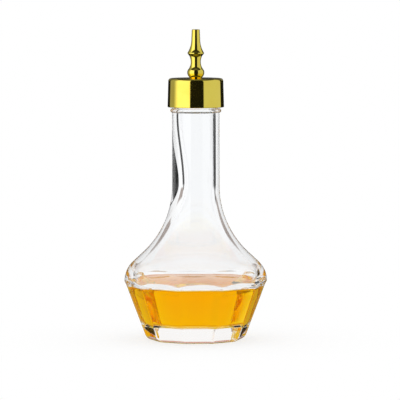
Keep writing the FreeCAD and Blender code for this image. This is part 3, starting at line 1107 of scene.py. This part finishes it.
@dataclass
class DashCap:
    """The screw cap: gold shell, turned spout and threaded liner; lengths in millimetres."""

    level: float = 102.4
    height: float = 12.7
    radius: float = 12.4
    top_radius: float = 12.05
    edge_round: float = 1.2
    rim_round: float = 0.3
    roof_round: float = 0.15
    top_thickness: float = 0.8
    wall: float = 0.6
    liner_gap: float = 0.05
    liner_bore: float = 10.3
    liner_top: float = 1.2
    liner_recess: float = 0.7
    liner_lead: float = 0.5
    liner_foot_round: float = 0.1
    liner_top_round: float = 0.2
    thread_turns: float = 1.2
    bore_radius: float = 1.05
    bore_round: float = 0.1
    tip_radius: float = 1.72
    tip_round: float = 0.25
    spout_height: float = 21.4
    nozzle_root_radius: float = 1.92
    nozzle_root_height: float = 17.0
    bead_radius: float = 3.6
    bead_height: float = 10.8
    bead_rim: float = 0.4
    bead_bevel: float = 1.1
    bead_round: float = 0.12
    bead_neck_radius: float = 2.75
    waist_radius: float = 2.18
    waist_height: float = 7.1
    bulb_radius: float = 3.74
    bulb_height: float = 2.6
    bulb_round: float = 2.1
    foot_radius: float = 2.4
    shank_radius: float = 1.8
    shank_gap: float = 0.04
    rivet_radius: float = 3.0
    rivet_thickness: float = 0.6
    rivet_round: float = 0.2
    rivet_gap: float = 0.3
    funnel_depth: float = 0.5
    segments: int = 256
    spout_segments: int = 160
    gold: PolishedGold = PolishedGold()
    plastic: LinerPlastic = LinerPlastic()

    def __post_init__(self) -> None:
        """Works out the places that follow from the sizes."""
        self.top = self.level + self.height
        self.roof = self.top - self.top_thickness
        self.shell_bore = self.top_radius - self.wall

    def build_shell(self) -> None:
        """Turns the shell: a slightly tapered skirt, rounded over into its top."""
        hole = self.shank_radius + self.shank_gap
        piece = ring_piece("cap_shell_dressed", [
            Corner(hole, self.roof),
            Corner(self.shell_bore, self.roof, ease=self.roof_round, step=1.0),
            Corner(self.shell_bore, self.level, ease=self.rim_round, step=0.1),
            Corner(self.radius, self.level, ease=self.rim_round, step=0.8),
            Corner(self.top_radius, self.top, ease=self.edge_round, step=0.15),
            Corner(hole, self.top, step=0.5),
        ], self.segments, self.gold)
        piece.data.set_sharp_from_angle(angle=CREASE)
        seat(piece, Body.CAP, Slot.GOLD, "cap_shell")

    def build_spout(self) -> None:
        """Turns the spout: bulb, waist, bead and nozzle, bored through and spread under the cap."""
        foot, base = self.roof - self.rivet_thickness, self.top
        bulb_rise = self.waist_height - self.bulb_height
        both = swept(self.bulb_radius - self.waist_radius, bulb_rise)
        share = self.bulb_round / both
        middle = self.bulb_radius - self.bulb_round + share * (both + self.waist_radius - self.bulb_radius)
        bevel = self.bead_height - self.bead_bevel
        rim = self.bead_height + self.bead_rim
        tip = base + self.spout_height
        foot_sweep = swept(self.bulb_radius - self.foot_radius, self.bulb_height)
        waist_sweep = swept(self.bead_neck_radius - self.waist_radius, bevel - self.waist_height)
        nozzle_sweep = swept(self.bead_radius - self.nozzle_root_radius, self.nozzle_root_height - rim)
        piece = ring_piece("dasher_spout_dressed", [
            Corner(self.bore_radius + self.funnel_depth, foot),
            Corner(self.rivet_radius, foot, ease=self.rivet_round),
            Corner(self.rivet_radius, self.roof),
            Corner(self.shank_radius, self.roof),
            Corner(self.shank_radius, base),
            Corner(self.foot_radius, base, foot_sweep, step=0.15),
            Corner(self.bulb_radius, base + self.bulb_height, self.bulb_round, step=0.12),
            Corner(middle, base + self.bulb_height + share * bulb_rise, self.bulb_round - both, step=0.2),
            Corner(self.waist_radius, base + self.waist_height, -waist_sweep, step=0.2),
            Corner(self.bead_neck_radius, base + bevel, step=0.2),
            Corner(self.bead_radius, base + self.bead_height, ease=self.bead_round, step=0.05),
            Corner(self.bead_radius, base + rim, -nozzle_sweep, step=0.2),
            Corner(self.nozzle_root_radius, base + self.nozzle_root_height, step=0.5),
            Corner(self.tip_radius, tip, ease=self.tip_round, step=0.05),
            Corner(self.bore_radius, tip, ease=self.bore_round, step=1.0),
            Corner(self.bore_radius, foot + self.funnel_depth, step=0.3),
        ], self.spout_segments, self.gold)
        piece.data.set_sharp_from_angle(angle=FINE_CREASE)
        seat(piece, Body.CAP, Slot.GOLD, "dasher_spout")

    def build_liner(self, bottle: Bottle) -> None:
        """Turns the liner and raises the thread in its bore, half a pitch from the glass thread.

        Args:
            bottle: The bottle whose thread it screws on to.
        """
        low, ceiling = self.level + self.liner_recess, self.roof - self.liner_top
        outer, hole = self.shell_bore - self.liner_gap, self.rivet_radius + self.rivet_gap
        section = trace([
            Corner(hole, ceiling, step=1.0),
            Corner(self.liner_bore, ceiling, step=0.17),
            Corner(self.liner_bore, low + self.liner_lead, step=0.2),
            Corner(self.liner_bore + self.liner_lead, low),
            Corner(outer, low, ease=self.liner_foot_round),
            Corner(outer, self.roof, ease=self.liner_top_round),
            Corner(hole, self.roof),
        ], closed=True)
        bore = [1.0 if abs(across - self.liner_bore) < SAME else 0.0 for across, _ in section]
        piece = new_piece("threaded_liner_dressed", turned_mesh(
            "threaded_liner_dressed", section, self.segments, closed=True, marks={"bore": bore}))
        start = bottle.thread.start + bottle.thread.pitch / 2
        thread = replace(bottle.thread, start=start, turns=self.thread_turns)
        mould = Mould("liner_mould", thread.sizes(), self.plastic)
        scale = 1 + mould.mark("bore") * mould.thread(Side.INSIDE) / mould.radius
        mould.shape(piece, mould.across * scale, mould.along * scale)
        piece.data.set_sharp_from_angle(angle=CREASE)
        seat(piece, Body.CAP, Slot.LINER, "threaded_liner")

    def build(self, bottle: Bottle) -> None:
        """Builds the shell, the spout and the liner.

        Args:
            bottle: The bottle that the cap screws on to.
        """
        self.build_shell()
        self.build_spout()
        self.build_liner(bottle)


@dataclass
class MouthSeal:
    """The soft washer on the lip; lengths in millimetres."""

    level: float = 111.5
    thickness: float = 1.6
    hole: float = 3.3
    radius: float = 10.0
    edge_round: float = 0.25
    hole_round: float = 0.12
    segments: int = 128
    silicone: SoftSeal = SoftSeal()

    def build(self) -> None:
        """Turns the washer with soft edges."""
        top = self.level + self.thickness
        piece = ring_piece("seal_washer_dressed", [
            Corner(self.hole, self.level, ease=self.hole_round),
            Corner(self.radius, self.level, ease=self.edge_round),
            Corner(self.radius, top, ease=self.edge_round),
            Corner(self.hole, top, ease=self.hole_round),
        ], self.segments, self.silicone)
        seat(piece, Body.SEAL, Slot.SEAL, "seal_washer")


# The studio

@dataclass(frozen=True)
class Card:
    """One upright card of the studio, as the bottle sees it, in degrees.

    Attributes:
        left: Its left end, to the right of the camera.
        right: Its right end.
        foot: Its lower end, above the horizon.
        head: Its upper end.
        level: How strong it is; a lit card of 1 is white, and a flag of 1 is black.
        left_edge: Half the width of its soft left end.
        right_edge: Half the width of its soft right end.
        level_edge: Half the height of its soft lower and upper ends.
    """

    left: float
    right: float
    foot: float = -40.0
    head: float = 46.0
    level: float = 1.0
    left_edge: float = 2.0
    right_edge: float = 2.0
    level_edge: float = 3.0

    def mask(self, aside: Wire, climbed: Wire) -> Wire:
        """Works out how the card is seen.

        Args:
            aside: Degrees to the right of the camera.
            climbed: Degrees above the horizon.

        Returns:
            The card's level on it, and 0 beside it.
        """
        start = aside.climb(self.left - self.left_edge, self.left + self.left_edge)
        stop = aside.climb(self.right - self.right_edge, self.right + self.right_edge)
        return start * (1 - stop) * climbed.band(self.foot, self.head, self.level_edge) * self.level


@dataclass
class Studio:
    """A white sweep with lit cards, flags and warm walls; lengths in millimetres, angles in degrees."""

    distance: float = 1462.0
    height: float = 167.0
    turned: float = -4.0
    aim_across: float = 1.85
    aim_up: float = 61.5
    seen_width: float = 176.0
    sensor_width: float = 36.0
    nearest_seen: float = 50.0
    farthest_seen: float = 20000.0
    floor_reach: float = 115.0
    ceiling: float = 0.2
    ceiling_foot: float = 45.0
    dimmest: float = 0.01
    gloss_cards: tuple[Card, ...] = (
        Card(-92, -24, level=1.2, left_edge=14.0),
        Card(-132, -92, level=0.35, left_edge=4.0, right_edge=14.0),
        Card(33, 124, level=0.62),
        Card(140, 190, foot=3, level=0.14),
        Card(-180, -140, foot=3, level=0.14),
    )
    flags: tuple[Card, ...] = (
        Card(-137, -118, foot=-50, head=-1),
        Card(-129, -121, foot=-1, head=9),
        Card(100, 146, foot=-50, head=-1),
        Card(124, 134, foot=-1, head=9),
    )
    warm_walls: tuple[Card, ...] = (
        Card(-155, -126, foot=3, head=21),
        Card(134, 152, foot=3, head=21),
    )
    warm: Colour = (0.36, 0.3, 0.27)
    wall_faces: int = 2
    light_bounces: int = 48
    floor: PaleFloor = PaleFloor()

    def build_floor(self) -> None:
        """Lays the floor."""
        reach = self.floor_reach * MM
        mesh = bpy.data.meshes.new("floor")
        mesh.from_pydata([(-reach, -reach, 0), (reach, -reach, 0), (reach, reach, 0), (-reach, reach, 0)],
                         [], [(0, 1, 2, 3)])
        new_piece("floor", mesh, self.floor)

    def build_world(self) -> None:
        """Lights the studio: plain white, with cards for gloss, and flags and walls that show in the glass.

        Only light that was mirrored in the glass sees the walls. The flags are also seen by light that
        passed no more than one wall of it, so that they don't show straight through the bottle.
        """
        world = bpy.data.worlds.new("studio")
        bpy.context.scene.world = world
        world.use_nodes = True
        board = Board(world.node_tree)
        across, along, up = board.axes(board.node("ShaderNodeTexCoord").outputs["Generated"])
        aside = board.math("ARCTAN2", across, 0 - along) * (180 / math.pi) - self.turned
        climbed = board.math("ARCSINE", up) * (180 / math.pi)
        in_gloss, shaded, warmed = [sum(card.mask(aside, climbed) for card in cards)
                                    for cards in (self.gloss_cards, self.flags, self.warm_walls)]
        in_gloss = in_gloss + climbed.climb(self.ceiling_foot, 90) * self.ceiling + self.dimmest
        path = board.node("ShaderNodeLightPath")
        gloss, glass = board.wire(path, "Is Glossy Ray"), board.wire(path, "Is Transmission Ray")
        mirrored = board.wire(path, "Glossy Depth").least(1.0)
        deep = board.wire(path, "Transmission Depth").climb(self.wall_faces, self.wall_faces + 1)
        in_wall = mirrored.most(1 - deep)
        level = glass * (1 - shaded * in_wall) + (1 - glass) * (gloss * in_gloss + (1 - gloss))
        plain = board.node("ShaderNodeBackground", None, {"Color": (*WHITE, 1), "Strength": level})
        walls = board.node("ShaderNodeBackground", None, {"Color": (*self.warm, 1), "Strength": 1.0})
        sky = board.blend(glass * warmed * mirrored, plain.outputs[0], walls.outputs[0])
        board.node("ShaderNodeOutputWorld", None, {"Surface": sky})

    def build_camera(self) -> None:
        """Stands the camera where the photograph was taken from."""
        aside = math.radians(self.turned)
        place = Vector((math.sin(aside) * self.distance, -math.cos(aside) * self.distance, self.height))
        aim = Vector((math.cos(aside) * self.aim_across, math.sin(aside) * self.aim_across, self.aim_up))
        data = bpy.data.cameras.new("camera")
        data.sensor_width = self.sensor_width
        data.lens = self.sensor_width * (aim - place).length / self.seen_width
        data.clip_start = self.nearest_seen * MM
        data.clip_end = self.farthest_seen * MM
        camera = bpy.data.objects.new("camera", data)
        camera.location = place * MM
        camera.rotation_euler = (aim - place).to_track_quat("-Z", "Y").to_euler()
        bpy.context.scene.collection.objects.link(camera)
        bpy.context.scene.camera = camera

    def open_paths(self) -> None:
        """Lets light pass all the faces of the thick glass and the bitters before it is given up."""
        cycles = bpy.context.scene.cycles
        cycles.max_bounces = self.light_bounces
        cycles.glossy_bounces = self.light_bounces
        cycles.transmission_bounces = self.light_bounces

    def build(self) -> None:
        """Builds the floor, the light and the camera."""
        self.build_floor()
        self.build_world()
        self.build_camera()
        self.open_paths()
        bpy.context.scene.view_settings.view_transform = "Standard"
        lens = bpy.context.scene.camera.data.lens
        log.info("studio: camera %.0f mm away, lens %.0f mm", self.distance, lens)


def main() -> None:
    """Builds the bottle, its closure and the studio."""
    logging.basicConfig(level=logging.INFO, format="%(message)s")
    bottle = Bottle()
    bottle.build()
    DashCap().build(bottle)
    MouthSeal().build()
    Studio().build()


if __name__ == "__main__":
    main()
